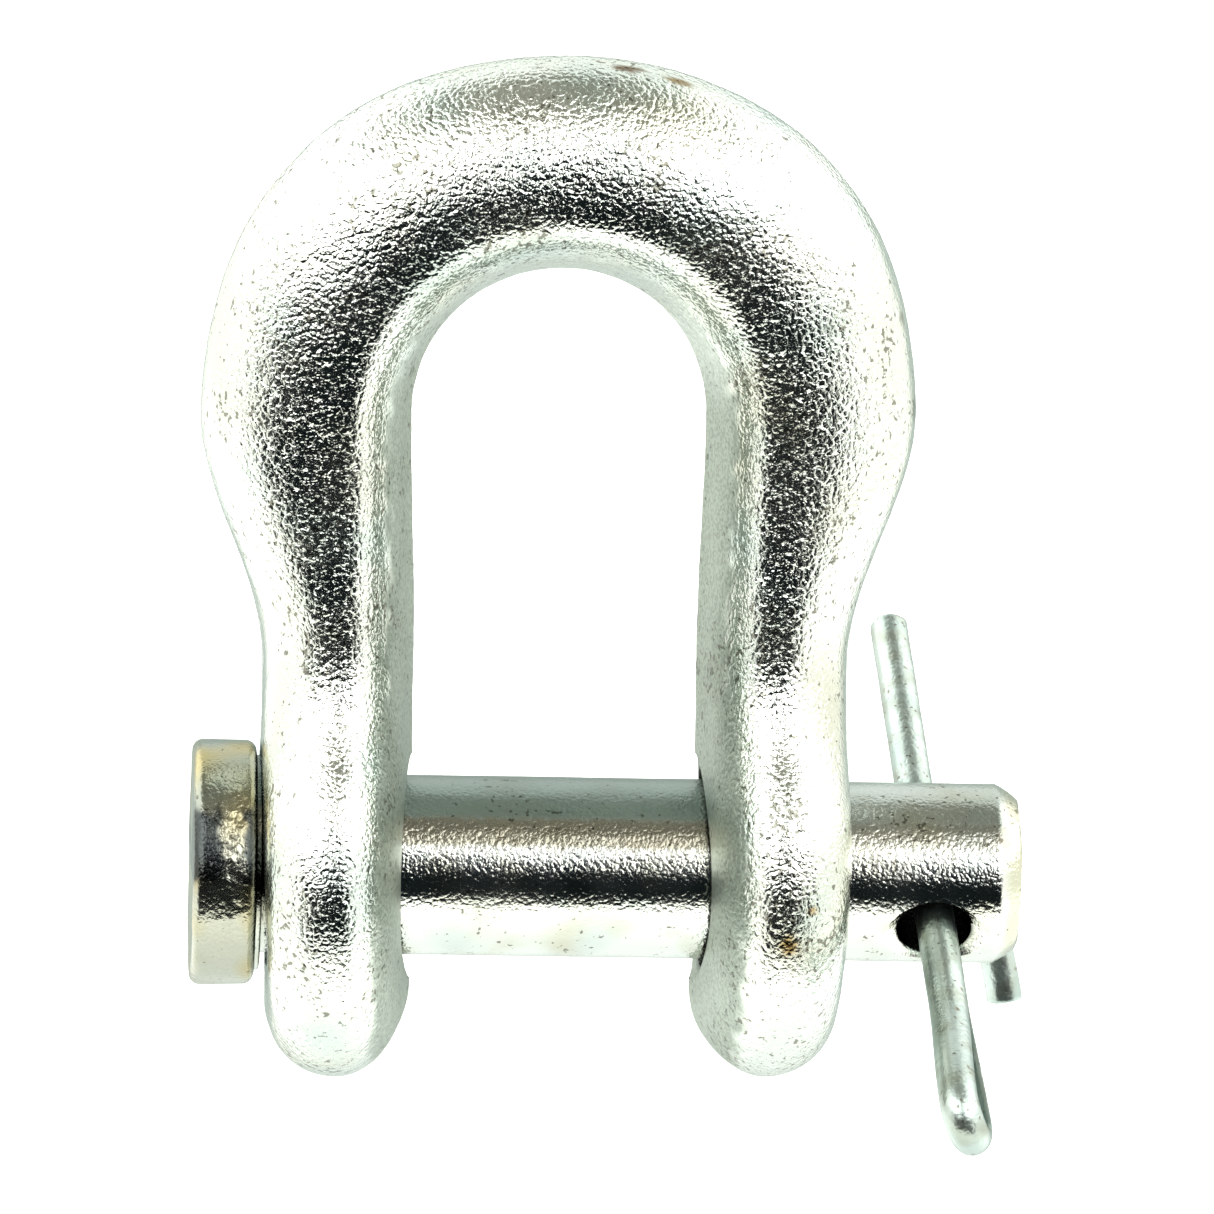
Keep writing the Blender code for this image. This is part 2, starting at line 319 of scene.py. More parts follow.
def half_depth(z):
    """Half the forging's depth along Y at a height: the ear's rim, the neck, then the leg."""
    neck_y, neck_z = neck_centre()
    rim_top = EAR_RADIUS * neck_z / (EAR_RADIUS + NECK_RADIUS)
    if z <= rim_top:
        return math.sqrt(max(EAR_RADIUS**2 - z * z, 0.0))
    if z < neck_z:
        return neck_y - math.sqrt(NECK_RADIUS**2 - (neck_z - z) ** 2)
    return mix(LEG_HALF_DEPTH, CROWN_HALF_DEPTH, smooth_step(neck_z, ARCH_CENTRE_Z, z))


def depth_from_rim(y, z):
    """How far a point inside the side view lies from its outline."""
    y = abs(y)
    neck_y, neck_z = neck_centre()
    if z >= neck_z:
        return half_depth(z) - y
    if z * neck_y <= y * neck_z:
        return EAR_RADIUS - math.hypot(y, z)
    return math.hypot(neck_y - y, neck_z - z) - NECK_RADIUS


def fullness(depth, round_depth, squareness=2.0):
    """Share of the full thickness at a distance in from the rim: a rounded edge, then flat."""
    short = 1.0 - min(max(depth / round_depth, 0.0), 1.0)
    return max(1.0 - short**squareness, 0.0) ** (1.0 / squareness)


def bow_section(z, outer, inner, crest, place, steps=SECTION_STEPS):
    """One ring of the bow. place turns a distance outward and a depth into a point; z is the height
    that its shape is taken from, and past the arch's centre it only says that the shape is the crown's."""
    depth = half_depth(z)
    if depth < 1e-9:
        return [place(mix(inner, outer, crest), 0.0)]
    blend = smooth_step(4.0 * MM, 20.0 * MM, z)
    outer_round = mix(EAR_OUTER_ROUND, depth, blend)
    squareness = mix(EAR_SQUARENESS, LEG_SQUARENESS, blend)
    draft = mix(EAR_DRAFT, LEG_DRAFT, blend)
    middle = mix(inner, outer, crest)
    outside = []
    inside = []
    for k in range(steps + 1):
        y = -depth * math.cos(math.pi * k / steps)
        rim = 0.0 if k in (0, steps) else depth_from_rim(y, z)
        flash = FLASH_HEIGHT * math.exp(-((y / FLASH_WIDTH) ** 2))
        drafted = inner + abs(y) * draft
        outside.append(place(mix(middle, outer + flash, fullness(rim, outer_round)), y))
        inside.append(place(mix(middle, drafted - flash, fullness(rim, INNER_ROUND, squareness)), y))
    return outside + inside[-2:0:-1]


def bow_half():
    """Rings of the right half, from the bottom of its ear to the top of the crown."""
    rings = []
    heights = [-EAR_RADIUS * math.cos(0.5 * math.pi * k / EAR_STEPS) for k in range(EAR_STEPS + 1)]
    heights += [ARCH_CENTRE_Z * (k + 1) / LEG_STEPS for k in range(LEG_STEPS)]
    for z in heights:
        swell = smooth_step(SWELL_START_Z, ARCH_CENTRE_Z, z)
        outer = mix(EAR_OUTER_X, LEG_OUTER_X, smooth_step(LEG_START_Z, LEG_END_Z, z))
        outer += (BOW_OUTER_X - LEG_OUTER_X) * swell
        inner = mix(JAW_HALF_WIDTH, BOW_HALF_WIDTH, swell)
        crest = mix(EAR_CREST, CROWN_CREST, swell)
        rings.append(bow_section(z, outer, inner, crest, lambda n, y, z=z: Vector((n, y, z))))
    for k in range(1, CROWN_STEPS + 1):
        angle = 0.5 * math.pi * k / CROWN_STEPS
        outer = BOW_OUTER_X + (CROWN_OUTER_RADIUS - BOW_OUTER_X) * math.sin(angle) ** 2
        outer += SHOULDER_SWELL * math.sin(2.0 * angle) ** 2

        def place(n, y, a=angle):
            return Vector((n * math.cos(a), y, ARCH_CENTRE_Z + n * math.sin(a)))

        z = ARCH_CENTRE_Z * (1.0 + k)
        rings.append(bow_section(z, outer, BOW_HALF_WIDTH, CROWN_CREST, place))
    return rings


def forged_relief(point):
    """Forging unevenness, then the shallow pebbled skin under the zinc."""
    lift = 0.10 * MM * lumps(point, 9.0 * MM, 1.3)
    lift += 0.035 * MM * lumps(point, 3.0 * MM, 4.1)
    lift += 0.022 * MM * lumps(point, 1.2 * MM, 7.7)
    lift += 0.020 * MM * (pebbles(point, 1.0 * MM, 2.9) - 0.5)
    off_axis = point - JAW_CENTRE
    beyond_bore = math.hypot(off_axis.y, off_axis.z) - BORE_RADIUS
    return lift * smooth_step(0.1 * MM, 1.0 * MM, beyond_bore)


def jaw_share(place):
    """1 on the flat inner faces of the ears and legs, 0 on their fronts, and weaker in the arch."""
    inner = mix(JAW_HALF_WIDTH, BOW_HALF_WIDTH, smooth_step(SWELL_START_Z, ARCH_CENTRE_Z, place.z))
    off = math.hypot(place.x, max(place.z - ARCH_CENTRE_Z, 0.0)) - inner
    off += 0.6 * MM * lumps(place, 1.3 * MM, 2.6)
    reach = mix(3.3 * MM, 2.3 * MM, smooth_step(4.0 * MM, 20.0 * MM, place.z))
    arch = smooth_step(ARCH_CENTRE_Z, ARCH_CENTRE_Z + 9.0 * MM, place.z)
    return smooth_step(reach, reach - 0.9 * MM, off) * mix(1.0, 0.4, arch)


def bow_patina_and_shade(point):
    """Warm and cool clouds, matt inner faces greyed by painted shade, painted shade in the bores and on the
    ear under the pin's head, and a few rust spots.
    """
    colour = blotch(CLEAN, WARM_CLOUD, 0.9 * lumps(point, 7.0 * MM, 5.5))
    colour = blotch(colour, COOL_CLOUD, 0.9 * lumps(point, 5.0 * MM, 12.5))
    place = point - JAW_CENTRE
    jaw = jaw_share(place)
    # painted shade on the flat inner faces, which are also duller there
    colour = blotch(colour, JAW_SHADE_GREY, jaw)
    # painted shade in the bores and on the ear face round the collar under the pin's head, where the gaps
    # lie in shade
    from_axis = math.hypot(place.y, place.z)
    in_bore = smooth_step(BORE_RADIUS + 0.15 * MM, BORE_RADIUS + 0.02 * MM, from_axis)
    under_head = smooth_step(COLLAR_X + 1.4 * MM, COLLAR_X + 0.8 * MM, place.x)
    under_head *= smooth_step(COLLAR_RADIUS + 1.9 * MM, COLLAR_RADIUS + 0.2 * MM, from_axis)
    colour = blotch(colour, BORE_PAINTED_SHADE, max(in_bore, 0.8 * under_head))
    return (*spotted(colour, place, RUST_SPOTS), jaw)


def make_bow():
    """The whole forging from its right half and that half's mirror image, with its bores cut."""
    right = bow_half()
    left = [[Vector((-p.x, p.y, p.z)) for p in ring] for ring in right[-2::-1]]
    bow = new_object("bow_forging", skin(right + left), Matrix.Translation(JAW_CENTRE))
    reach = 30.0 * MM
    lip_end = JAW_HALF_WIDTH + BORE_LIP_DEPTH
    lip = BORE_RADIUS + BORE_LIP
    walls = [(-reach, BORE_RADIUS), (-lip_end, BORE_RADIUS), (-JAW_HALF_WIDTH, lip)]
    walls += [(JAW_HALF_WIDTH, lip), (lip_end, BORE_RADIUS), (reach, BORE_RADIUS)]
    walls = fine_profile(walls, 0.6 * MM)
    cut(bow, new_object("bore", lathe(walls, BORE_STEPS), Matrix.Translation(JAW_CENTRE)))
    relief(bow, forged_relief, bow_patina_and_shade)
    bow.data.set_sharp_from_angle(angle=math.radians(50.0))
    return bow


# --- round pin ---


SCAB_X = -22.7 * MM  # middle of the rough scab on the head's rim
SCAB_HALF_WIDTH = 0.8 * MM
PIN_COOL_CLOUD = (0.78, 0.84, 0.84)
PIN_WARM_CLOUD = (0.80, 0.76, 0.62)
HEAD_GREY = (0.62, 0.61, 0.54)
HEAD_YELLOW = (0.62, 0.53, 0.32)
# painted shade: grey on the top of the pin's head
CREST_SHADE_GREY = (0.42, 0.47, 0.46)
CREST_YELLOW = (0.55, 0.46, 0.22)
# painted reflection: near black blue on the head's front, standing in for a dark room reflected there
HEAD_DARK_REFLECTION_BLUE = (0.035, 0.045, 0.055)
# painted shade: near black on the lower collar and shank just inside the head, beside the ear
COLLAR_PAINTED_SHADE = (0.07, 0.08, 0.07)
# painted shade: grey-teal on the pin's top, strongest between the ears under the crown
TOP_PAINTED_SHADE = (0.33, 0.40, 0.39)
# painted shade: a brown-grey band below the pin's grey top, where a soft box's reflection would lie
BAND_PAINTED_SHADE = (0.40, 0.37, 0.31)
CUT_YELLOW = (0.80, 0.78, 0.66)
# painted shade: near black on the walls of the cross hole
HOLE_PAINTED_SHADE = (0.05, 0.06, 0.05)


def rounded_corner(x, radius, size, steps, way):
    """Points of a quarter-round corner of a turned profile; way is 1 going out, -1 coming back."""
    points = []
    for k in range(steps + 1):
        angle = 0.5 * math.pi * (k if way > 0 else steps - k) / steps
        points.append((x - way * size * math.cos(angle), radius - size + size * math.sin(angle)))
    return points


def chamfer_points():
    """The cropped end's chamfer, slightly crowned, from the shank to the end face."""
    start = PIN_END_X - PIN_CHAMFER_LENGTH
    points = []
    steps = 8
    for k in range(steps + 1):
        t = k / steps
        drop = PIN_CHAMFER_DEPTH * t * mix(0.72, 1.0, t)
        points.append((start + PIN_CHAMFER_LENGTH * t, PIN_RADIUS - drop))
    return points


def scab_share(local):
    """1 in the rough scab on the front of the head's rim, 0 away from it."""
    if local.y >= 0.0:
        return 0.0
    ragged = 0.5 * MM * lumps(local, 0.9 * MM, 4.4)
    off = abs(local.x - SCAB_X) + ragged
    height = local.z / HEAD_RADIUS
    ends = smooth_step(-0.32, -0.18, height) * smooth_step(0.86, 0.72, height)
    return ends * smooth_step(SCAB_HALF_WIDTH + 0.2 * MM, SCAB_HALF_WIDTH - 0.2 * MM, off)


def pin_relief(point):
    """Drawn bar with faint lengthwise waves, a hammered head and a cropped, bruised end."""
    local = PIN_FRAME.inverted() @ point
    along = Vector((local.x * 0.25, local.y, local.z))
    lift = 0.022 * MM * lumps(along, 2.6 * MM, 3.3)
    lift += 0.012 * MM * lumps(along, 0.9 * MM, 5.2)
    head = 1.0 - smooth_step(HEAD_INNER_X - 0.3 * MM, COLLAR_X, local.x)
    lift += head * 0.06 * MM * lumps(local, 3.4 * MM, 8.8)
    rough = pebbles(local, 0.95 * MM, 6.6) + 0.6 * lumps(local, 0.5 * MM, 7.2)
    lift += scab_share(local) * 0.13 * MM * rough
    tip = smooth_step(PIN_END_X - 2.2 * MM, PIN_END_X - 1.0 * MM, local.x)
    lift += tip * 0.07 * MM * lumps(local, 2.4 * MM, 6.1)
    return lift


def head_painted_shade(colour, local, height, clouds, head):
    """Painted light on the head: a near black-blue painted dark reflection at half height, except on the
    rough scab, and above it painted shade in grey mottled with yellow.
    """
    dark_reflection = smooth_step(0.02, 0.12, height) * smooth_step(0.78, 0.66, height) * head
    dark_reflection *= smooth_step(-0.5, -0.2, lumps(local, 2.6 * MM, 1.6))
    # painted dark reflection where the soft boxes would show, except on the scab
    colour = blotch(colour, HEAD_DARK_REFLECTION_BLUE, 0.93 * dark_reflection * (1.0 - scab_share(local)))
    crest = blotch(CREST_SHADE_GREY, CREST_YELLOW, 0.5 + 1.3 * clouds)
    return blotch(colour, crest, 0.85 * smooth_step(0.62, 0.76, height) * head)


def hole_share(local):
    """1 on the walls of the cross hole below its flared mouths."""
    across = local.z * math.cos(HOLE_PITCH) - local.y * math.sin(HOLE_PITCH)
    off_hole = math.hypot(local.x - HOLE_X, across)
    from_axis = math.hypot(local.y, local.z)
    deep = smooth_step(PIN_RADIUS - 0.5 * MM, PIN_RADIUS - 0.95 * MM, from_axis)
    return deep * smooth_step(HOLE_RADIUS + 0.3 * MM, HOLE_RADIUS + 0.1 * MM, off_hole)


def pin_patina_and_shade(point):
    """Painted shade in grey on top and in brown below that, a stained head with painted dark reflection and
    painted shade, painted shade on the collar and in the cross hole, and a yellow cut end.
    """
    local = PIN_FRAME.inverted() @ point
    from_axis = max(math.hypot(local.y, local.z), MM)
    clouds = lumps(local, 3.2 * MM, 15.0)
    colour = blotch(CLEAN, PIN_COOL_CLOUD, 1.2 * lumps(local, 4.5 * MM, 9.0))
    colour = blotch(colour, PIN_WARM_CLOUD, clouds)
    height = local.z / from_axis + 0.03 * lumps(local, 0.45 * MM, 2.2)
    head = smooth_step(HEAD_INNER_X, HEAD_INNER_X - 0.5 * MM, local.x)
    colour = blotch(colour, HEAD_GREY, head)
    colour = blotch(colour, HEAD_YELLOW, head * (0.15 + 1.8 * clouds))
    neck = smooth_step(HEAD_INNER_X - 0.25 * MM, HEAD_INNER_X, local.x)
    neck *= smooth_step(-15.0 * MM, -17.0 * MM, local.x)
    neck *= smooth_step(-5.5 * MM, -2.0 * MM, local.z + 0.3 * local.y)
    # painted shade on the collar beside the ear
    colour = blotch(colour, COLLAR_PAINTED_SHADE, neck)
    between_ears = smooth_step(13.0 * MM, 10.0 * MM, abs(local.x))
    shank = 1.0 - head
    # painted shade on the pin's top, which is also duller there
    top = smooth_step(0.60, 0.78, local.z / from_axis) * mix(0.45, 1.0, between_ears) * shank
    colour = blotch(colour, TOP_PAINTED_SHADE, top)
    # painted shade in a band below the top, strongest between the ears
    shaded_band = smooth_step(mix(0.47, 0.42, between_ears), mix(0.54, 0.50, between_ears), height)
    shaded_band *= smooth_step(0.75, 0.71, height) * shank
    colour = blotch(colour, BAND_PAINTED_SHADE, mix(0.45, 0.9, between_ears) * shaded_band)
    colour = head_painted_shade(colour, local, height, clouds, head)
    end = smooth_step(PIN_END_X - PIN_CHAMFER_LENGTH, PIN_END_X - 0.6 * MM, local.x)
    colour = blotch(colour, CUT_YELLOW, end)
    # painted shade on the cross hole's walls; the fourth value is how dull the skin is
    return (*blotch(colour, HOLE_PAINTED_SHADE, hole_share(local)), max(0.5 * top, 0.15 * head))


def make_pin():
    """The turned pin with its flared cross hole."""
    profile = [(HEAD_OUTER_X, 0.0)]
    profile += rounded_corner(HEAD_OUTER_X + HEAD_EDGE, HEAD_RADIUS, HEAD_EDGE, 8, 1)
    profile += rounded_corner(HEAD_INNER_X - HEAD_EDGE, HEAD_RADIUS, HEAD_EDGE, 8, -1)
    profile += [(HEAD_INNER_X, COLLAR_RADIUS)]
    profile += rounded_corner(COLLAR_X - COLLAR_EDGE, COLLAR_RADIUS, COLLAR_EDGE, 4, -1)
    profile += [(COLLAR_X, PIN_RADIUS)]
    profile += chamfer_points()
    profile += [(PIN_END_X, 0.0)]
    pin = new_object("pin_bar", lathe(fine_profile(profile, FINE), PIN_STEPS), PIN_FRAME)
    reach = PIN_RADIUS + 1.0 * MM
    waist = PIN_RADIUS - HOLE_SINK
    flare = HOLE_RADIUS + HOLE_FLARE * (reach - waist)
    hole = [(-reach, flare), (-waist, HOLE_RADIUS), (waist, HOLE_RADIUS), (reach, flare)]
    along_hole = Vector((0.0, math.cos(HOLE_PITCH), math.sin(HOLE_PITCH)))
    turn = along_hole.to_track_quat("X", "Z").to_matrix().to_4x4()
    place = PIN_FRAME @ Matrix.Translation((HOLE_X, 0.0, 0.0)) @ turn
    cut(pin, new_object("hole", lathe(fine_profile(hole, FINE), HOLE_STEPS), place))
    relief(pin, pin_relief, pin_patina_and_shade)
    pin.data.set_sharp_from_angle(angle=math.radians(50.0))
    return pin


# --- split pin ---


def shank_axes():
    """The shank's way towards its tips, and the way from its long half to its short half."""
    along = Vector((0.0, math.cos(SHANK_PITCH), math.sin(SHANK_PITCH)))
    along = (Matrix.Rotation(SHANK_LEAN, 3, "Z") @ along).normalized()
    down = Vector((1.0, 0.0, 0.0)).cross(along).normalized() * -1.0
    across = Matrix.Rotation(-SHANK_ROLL, 3, along) @ down
    return along, across


def eye_points(along, across):
    """The inside of the eye, from the long half round its end to the short half."""
    inner = EYE_HALF_WIDTH - WIRE_RADIUS
    turn_centre = EYE_END - WIRE_RADIUS - inner
    steps = 40
    flank = []
    for k in range(steps):
        t = k / steps
        width = mix(SLIT_HALF_WIDTH, inner, smooth_step(0.0, 1.0, t))
        flank.append((mix(EYE_START, turn_centre, t), width))
    points = [along * -x - across * w for x, w in flank]
    for k in range(steps + 1):
        angle = math.pi * k / steps
        x = turn_centre + inner * math.sin(angle)
        points.append(along * -x - across * inner * math.cos(angle))
    points += [along * -x + across * w for x, w in reversed(flank)]
    return points


def short_leg_points(along, across):
    """The short leg outside the hole: a tight bend, then a tail behind the pin."""
    side = Matrix.Rotation(SHANK_ROLL - BEND_ROLL, 3, along) @ across
    start = along * BEND_START + across * SLIT_HALF_WIDTH
    steps = 28
    points = []
    for k in range(steps + 1):
        a = BEND_ANGLE * k / steps
        points.append(start + BEND_RADIUS * (along * math.sin(a) + side * (1.0 - math.cos(a))))
    way = along * math.cos(BEND_ANGLE) + side * math.sin(BEND_ANGLE)
    reach = (SHORT_LEG_END - points[-1]).length * 0.36
    handle_a = points[-1] + way * reach
    handle_b = SHORT_LEG_END - SHORT_LEG_END_WAY.normalized() * reach
    points += interpolate_bezier(points[-1], handle_a, handle_b, SHORT_LEG_END, 32)[1:]
    return points


def even_points(points, gap):
    """The same line with points an even distance apart."""
    ends = [0.0]
    for a, b in zip(points, points[1:]):
        ends.append(ends[-1] + (b - a).length)
    count = math.ceil(ends[-1] / gap)
    made = []
    span = 0
    for k in range(count + 1):
        at = ends[-1] * k / count
        while span < len(points) - 2 and ends[span + 1] < at:
            span += 1
        share = (at - ends[span]) / (ends[span + 1] - ends[span])
        made.append(points[span].lerp(points[span + 1], share))
    return made


def half_round_outline(steps=WIRE_STEPS):
    """(out, side) pairs round a half-round wire with eased corners, out being away from its flat."""
    ease = 0.22 * MM
    outline = []
    for k in range(steps + 1):
        angle = math.pi * (k / steps - 0.5)
        out = math.cos(angle) * WIRE_RADIUS
        side = math.sin(angle) * (WIRE_RADIUS - 0.25 * ease)
        outline.append((math.sqrt(out * out + 0.25 * ease * ease), side))
    edge = WIRE_RADIUS - ease
    flats = max(4, steps // 2)
    for k in range(flats + 1):
        outline.append((0.0, edge * (1.0 - 2.0 * k / flats)))
    return outline


def half_round_rings(points, inward):
    """Half-round wire swept along points, its ends slightly rounded over."""
    outline = half_round_outline()
    rings = []
    ways = [(b - a).normalized() for a, b in zip(points, points[1:])]
    tangents = [ways[0]] + [(a + b).normalized() for a, b in zip(ways, ways[1:])] + [ways[-1]]
    flat = inward
    before = tangents[0]
    for point, tangent in zip(points, tangents):
        flat = before.rotation_difference(tangent) @ flat
        flat = (flat - tangent * flat.dot(tangent)).normalized()
        side = tangent.cross(flat)
        before = tangent
        rings.append([point - flat * out + side * across for out, across in outline])
    return end_cap(rings[0], -tangents[0])[::-1] + rings + end_cap(rings[-1], tangents[-1])


def end_cap(ring, way):
    """Rings that close a cut end: a small rounded edge, then a flat drawn in to its middle."""
    middle = sum(ring, Vector()) / len(ring)
    capped = []
    for share, rise in ((0.97, 0.05), (0.90, 0.10), (0.75, 0.13), (0.55, 0.15), (0.30, 0.15)):
        capped.append([middle.lerp(point, share) + way * rise * MM for point in ring])
    return capped + [[middle + way * 0.15 * MM]]


WIRE_COOL_CLOUD = (0.74, 0.82, 0.82)
WIRE_WARM_CLOUD = (0.70, 0.66, 0.58)
WIRE_SPECK = (0.34, 0.24, 0.16)


def wire_relief(point):
    """Drawn wire, slightly uneven."""
    lift = 0.02 * MM * lumps(point, 2.0 * MM, 9.4)
    lift += 0.012 * MM * lumps(point, 0.8 * MM, 1.9)
    return lift


def wire_patina(point):
    """Cool and warm clouds with a few brown specks."""
    colour = blotch(CLEAN, WIRE_COOL_CLOUD, 1.5 * lumps(point, 3.0 * MM, 14.0))
    colour = blotch(colour, WIRE_WARM_CLOUD, 1.2 * lumps(point, 1.6 * MM, 18.0))
    specks = lumps(point, 0.5 * MM, 31.0)
    return (*blotch(colour, WIRE_SPECK, 6.0 * (specks - 0.62)), 0.0)


def make_split_pin():
    """One wire from the long leg's tip, round the eye, to the short leg's tip."""
    along, across = shank_axes()
    points = [along * LONG_LEG_END - across * SLIT_HALF_WIDTH]
    points += eye_points(along, across)
    points += short_leg_points(along, across)
    place = PIN_FRAME @ Matrix.Translation((SHANK_X, 0.0, 0.0))
    rings = half_round_rings(even_points(points, WIRE_FINE), across)
    wire = new_object("split_pin_wire", skin(rings), place)
    relief(wire, wire_relief, wire_patina)
    wire.data.set_sharp_from_angle(angle=math.radians(50.0))
    return wire


# --- materials ---


def node(tree, kind, inputs=None, **settings):
    """A shader node with its settings and inputs; an input is a value or another node's socket."""
    made = tree.nodes.new(kind)
    for name, value in settings.items():
        setattr(made, name, value)
    for key, value in (inputs or {}).items():
        if isinstance(value, bpy.types.NodeSocket):
            tree.links.new(value, made.inputs[key])
        else:
            made.inputs[key].default_value = value
    return made


def colour_mix(tree, factor, colour_a, colour_b, **settings):
    """A mix of two colours, each a value or another node's socket. Its colour sockets are 6 and 7."""
    made = node(tree, "ShaderNodeMix", {"Factor": factor}, data_type="RGBA", **settings)
    for socket, colour in ((6, colour_a), (7, colour_b)):
        if isinstance(colour, bpy.types.NodeSocket):
            tree.links.new(colour, made.inputs[socket])
        else:
            made.inputs[socket].default_value = (*colour, 1.0)
    return made.outputs[2]


def maths(tree, operation, *values):
    return node(tree, "ShaderNodeMath", dict(enumerate(values)), operation=operation).outputs[0]


def spread(tree, value, low, high, out_low, out_high, **settings):
    """out_low where the value is at low, out_high where it is at high."""
    limits = {"From Min": low, "From Max": high, "To Min": out_low, "To Max": out_high}
    return node(tree, "ShaderNodeMapRange", {"Value": value, **limits}, **settings).outputs["Result"]


def fine_noise(tree, place, scale, detail):
    return node(tree, "ShaderNodeTexNoise", {"Vector": place, "Scale": scale, "Detail": detail})


PIT_BROWN = (0.16, 0.15, 0.12)
GRIT_GREY = (0.20, 0.22, 0.20)
CLOUDS_PER_METRE = 190.0
PITS_PER_METRE = 2100.0


def zinc_grain(tree, coordinates, grain, grain_depth, side_grain):
    """The normal of a skin of small domes, and the fine noise that is in it. The domes keep only
    side_grain of their height where the skin faces along X, rubbed by the dies."""
    place = coordinates.outputs["Object"]
    stir = fine_noise(tree, place, 0.9 / grain, 0.0).outputs["Color"]
    shaken = node(tree, "ShaderNodeVectorMath", {0: stir, 1: (0.8 * grain,) * 3, 2: place},
                  operation="MULTIPLY_ADD")
    cell = node(tree, "ShaderNodeTexVoronoi",
                {"Vector": shaken.outputs[0], "Scale": 1.0 / grain, "Smoothness": 0.25}, feature="SMOOTH_F1")
    fall = maths(tree, "POWER", cell.outputs["Distance"], 2.0)
    fine = fine_noise(tree, place, 1.35 / grain, 2.0).outputs["Fac"]
    height = maths(tree, "MULTIPLY_ADD", fine, 0.9, 1.0)
    dome = maths(tree, "SUBTRACT", height, fall)
    facing = node(tree, "ShaderNodeSeparateXYZ", {0: coordinates.outputs["Normal"]})
    sideways = maths(tree, "ABSOLUTE", facing.outputs["X"])
    kept = spread(tree, sideways, 0.75, 0.97, 1.0, side_grain)
    bump = node(tree, "ShaderNodeBump", {"Height": dome, "Distance": grain_depth, "Strength": kept})
    return bump.outputs["Normal"], fine


def zinc(name, tint, stain, grain, grain_depth, side_grain, roughness, pit_from):
    """Bright zinc plate: a grained skin, cloudy tint, duller patches and small dark pits, under the vertex
    tint of stains and painted shade. The lower pit_from is, the more pits there are."""
    material = bpy.data.materials.new(name)
    material.use_nodes = True
    tree = material.node_tree
    shader = tree.nodes["Principled BSDF"]
    coordinates = node(tree, "ShaderNodeTexCoord")
    place = coordinates.outputs["Object"]
    normal, fine = zinc_grain(tree, coordinates, grain, grain_depth, side_grain)
    cloud = fine_noise(tree, place, CLOUDS_PER_METRE, 5.0).outputs["Fac"]
    tinted = colour_mix(tree, spread(tree, cloud, 0.5, 0.72, 0.0, 0.5), tint, stain)
    speck = fine_noise(tree, place, PITS_PER_METRE, 2.0).outputs["Fac"]
    crowd = maths(tree, "MULTIPLY_ADD", cloud, 0.5, speck)
    pits = spread(tree, crowd, pit_from, pit_from + 0.05, 0.0, 0.85)
    pitted = colour_mix(tree, pits, tinted, PIT_BROWN)
    patina_and_shade = node(tree, "ShaderNodeAttribute", attribute_name="patina_and_shade")
    dullness = patina_and_shade.outputs["Alpha"]
    toned = colour_mix(tree, 1.0, pitted, patina_and_shade.outputs["Color"], blend_type="MULTIPLY")
    grit = maths(tree, "MULTIPLY", spread(tree, fine, 0.56, 0.42, 0.0, 0.55), dullness)
    gritty = colour_mix(tree, grit, toned, GRIT_GREY)
    rough = spread(tree, cloud, 0.3, 0.75, roughness, roughness + 0.10)
    tree.links.new(gritty, shader.inputs["Base Color"])
    tree.links.new(maths(tree, "MULTIPLY_ADD", dullness, 0.30, rough), shader.inputs["Roughness"])
    tree.links.new(normal, shader.inputs["Normal"])
    shader.inputs["Metallic"].default_value = 1.0
    return material


def dress(piece, material, body, cad_node):
    """Give a piece its material, hang it on the body that carries it, and hide the CAD node that it stands
    for.
    """
    piece.data.materials.clear()
    piece.data.materials.append(material)
    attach(piece, body)
    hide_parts(cad_node)


# --- studio ---

# What the metal sees, by elevation in degrees: ahead of it, to its sides and behind it. Ahead there is
# a bright table below, then a dark room, then two soft boxes with a slit between them.
LOW_LIGHT = [
    (-90, (1.42, 1.50, 1.45)),
    (-60, (1.65, 1.70, 1.60)),
    (-35, (2.20, 2.22, 2.04)),
    (-32, (0.006, 0.010, 0.011)),
    (0, (0.003, 0.007, 0.008)),
]
CENTRE_LIGHT = LOW_LIGHT + [
    (26, (0.004, 0.010, 0.030)),
    (31, (0.70, 0.76, 0.80)),
    (41, (0.70, 0.70, 0.66)),
    (47, (0.31, 0.30, 0.24)),
    (90, (0.35, 0.34, 0.28)),
]
NARROW_LIGHT = LOW_LIGHT + [
    (26, (0.004, 0.010, 0.030)),
    (28, (3.6, 3.6, 3.5)),
    (42, (3.6, 3.6, 3.5)),
    (46, (0.42, 0.42, 0.35)),
    (66, (0.40, 0.40, 0.33)),
    (90, (0.35, 0.34, 0.28)),
]
SOFTBOX_LIGHT = LOW_LIGHT + [
    (7, (0.004, 0.010, 0.022)),
    (13, (3.6, 3.6, 3.5)),
    (52, (3.6, 3.6, 3.5)),
    (60, (0.42, 0.42, 0.35)),
    (90, (0.35, 0.34, 0.28)),
]
SIDE_LIGHT = [
    (-90, (1.42, 1.50, 1.45)),
    (-55, (1.55, 1.62, 1.52)),
    (-25, (2.10, 2.14, 2.04)),
    (-8, (1.50, 1.51, 1.40)),
    (5, (1.45, 1.46, 1.36)),
    (14, (2.6, 2.6, 2.5)),
    (52, (2.4, 2.4, 2.3)),
    (66, (0.50, 0.54, 0.47)),
    (90, (0.35, 0.34, 0.28)),
]
BACK_LIGHT = [
    (-90, (1.42, 1.50, 1.45)),
    (-45, (1.28, 1.36, 1.30)),
    (-16, (0.58, 0.67, 0.61)),
    (14, (0.62, 0.71, 0.65)),
    (24, (1.35, 1.40, 1.35)),
    (58, (1.35, 1.40, 1.33)),
    (66, (0.36, 0.36, 0.30)),
    (90, (0.35, 0.34, 0.28)),
]
